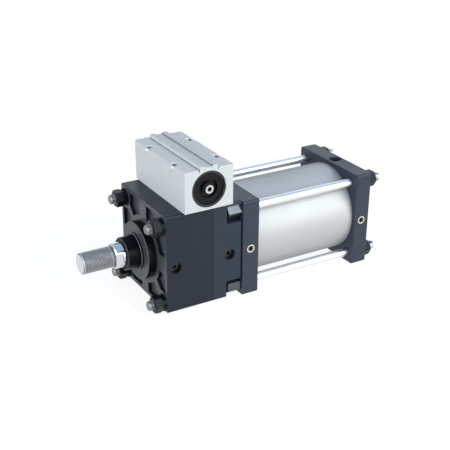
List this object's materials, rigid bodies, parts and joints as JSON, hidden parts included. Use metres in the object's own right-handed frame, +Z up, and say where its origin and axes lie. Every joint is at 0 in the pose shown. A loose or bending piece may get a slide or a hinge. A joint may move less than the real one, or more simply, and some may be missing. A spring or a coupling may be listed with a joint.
{
  "type": "locking pneumatic cylinder",
  "caption": "Tie-rod air cylinder with a spring-applied, air-released rod lock bolted to its front and a release block on top.",
  "frame": {"origin": "where the rod's axis meets the lock's front face", "axes": "+X along the cylinder from the rod end to the head end, -Y towards the side seen in the picture, +Z up to the release block"},
  "size_m": [0.46, 0.1506, 0.2099],
  "materials": {
    "black_casting": "satin",
    "black_steel": "satin",
    "block_aluminium": "satin",
    "tube_aluminium": "satin",
    "cap_aluminium": "satin",
    "plated_steel": "satin",
    "dark_plated_steel": "satin",
    "rod_chrome": "polished",
    "piston_aluminium": "satin",
    "spring_steel": "satin",
    "arm_steel": "satin",
    "brake_iron": "matte",
    "needle_brass": "satin",
    "bearing_bronze": "satin",
    "seal_rubber": "matte",
    "wear_plastic": "matte"
  },
  "bodies": {
    "frame": {"front_housing": "black_casting", "rear_housing": "black_casting", "rod_cover": "black_casting", "head_cover": "black_casting", "cushion_seals": "seal_rubber", "cylinder_tube": "tube_aluminium", "tube_gaskets": "seal_rubber", "tie_rods": "plated_steel", "tie_rod_couplings": "black_steel", "tie_rod_washers": "dark_plated_steel", "tie_rod_nuts": "black_steel", "lock_studs": "dark_plated_steel", "lock_stud_washers": "dark_plated_steel", "lock_stud_spring_washers": "black_steel", "lock_stud_nuts": "black_steel", "rod_gland": "black_steel", "gland_bush": "bearing_bronze", "rod_wiper": "seal_rubber", "rod_seal": "seal_rubber", "rod_bush": "bearing_bronze", "release_block": "block_aluminium", "block_bolts": "plated_steel", "near_end_cap": "cap_aluminium", "far_end_cap": "cap_aluminium", "near_brake_spring": "spring_steel", "far_brake_spring": "spring_steel", "pivot_pins": "plated_steel", "cap_rings": "spring_steel", "cap_seals": "seal_rubber", "side_plugs": "black_steel", "needle_bushes": "needle_brass"},
    "rod": {"piston_rod": "rod_chrome", "piston": "piston_aluminium", "piston_seals": "seal_rubber", "wear_ring": "wear_plastic", "front_cushion_ring": "plated_steel", "piston_nut": "plated_steel"},
    "near_piston": {"near_release_piston": "piston_aluminium", "near_piston_seal": "seal_rubber"},
    "far_piston": {"far_release_piston": "piston_aluminium", "far_piston_seal": "seal_rubber"},
    "near_arm": {"near_brake_arm": "arm_steel", "near_brake_shoe": "brake_iron"},
    "far_arm": {"far_brake_arm": "arm_steel", "far_brake_shoe": "brake_iron"},
    "rod_needle": {"rod_cushion_needle": "plated_steel"},
    "head_needle": {"head_cushion_needle": "plated_steel"},
    "near_screw": {"near_release_screw": "plated_steel"},
    "far_screw": {"far_release_screw": "plated_steel"}
  },
  "joints": [
    {"name": "rod_slide", "type": "slide", "parent": "frame", "child": "rod", "axis": [-1, 0, 0], "range_m": [0, 0.125]},
    {"name": "near_piston_slide", "type": "slide", "parent": "frame", "child": "near_piston", "axis": [0, -1, 0], "range_m": [0, 0.004], "stiffness_N_per_m": 2000, "springref_m": -0.01, "deforming": ["near_brake_spring"]},
    {"name": "near_arm_pivot", "type": "hinge", "parent": "frame", "child": "near_arm", "pos_m": [0.063, -0.036, -0.048], "axis": [1, 0, 0], "range_deg": [0, 1.74]},
    {"name": "far_piston_slide", "type": "slide", "parent": "frame", "child": "far_piston", "axis": [0, 1, 0], "range_m": [0, 0.004], "stiffness_N_per_m": 2000, "springref_m": -0.01, "deforming": ["far_brake_spring"]},
    {"name": "far_arm_pivot", "type": "hinge", "parent": "frame", "child": "far_arm", "pos_m": [0.063, 0.036, -0.048], "axis": [-1, 0, 0], "range_deg": [0, 1.74]},
    {"name": "rod_needle_turn", "type": "hinge", "parent": "frame", "child": "rod_needle", "pos_m": [0.131, -0.0725, -0.001], "axis": [0, -1, 0], "range_deg": [0, 720]},
    {"name": "head_needle_turn", "type": "hinge", "parent": "frame", "child": "head_needle", "pos_m": [0.326, -0.0725, -0.001], "axis": [0, -1, 0], "range_deg": [0, 720]},
    {"name": "near_screw_turn", "type": "hinge", "parent": "frame", "child": "near_screw", "pos_m": [0.063, -0.0723, 0.1042], "axis": [0, -1, 0], "continuous": true},
    {"name": "far_screw_turn", "type": "hinge", "parent": "frame", "child": "far_screw", "pos_m": [0.063, 0.0723, 0.1042], "axis": [0, 1, 0], "continuous": true}
  ],
  "couplings": [
    {"joint": "near_arm_pivot", "follows": "near_piston_slide", "rad_per_m": 7.5643},
    {"joint": "far_arm_pivot", "follows": "far_piston_slide", "rad_per_m": 7.5643}
  ]
}
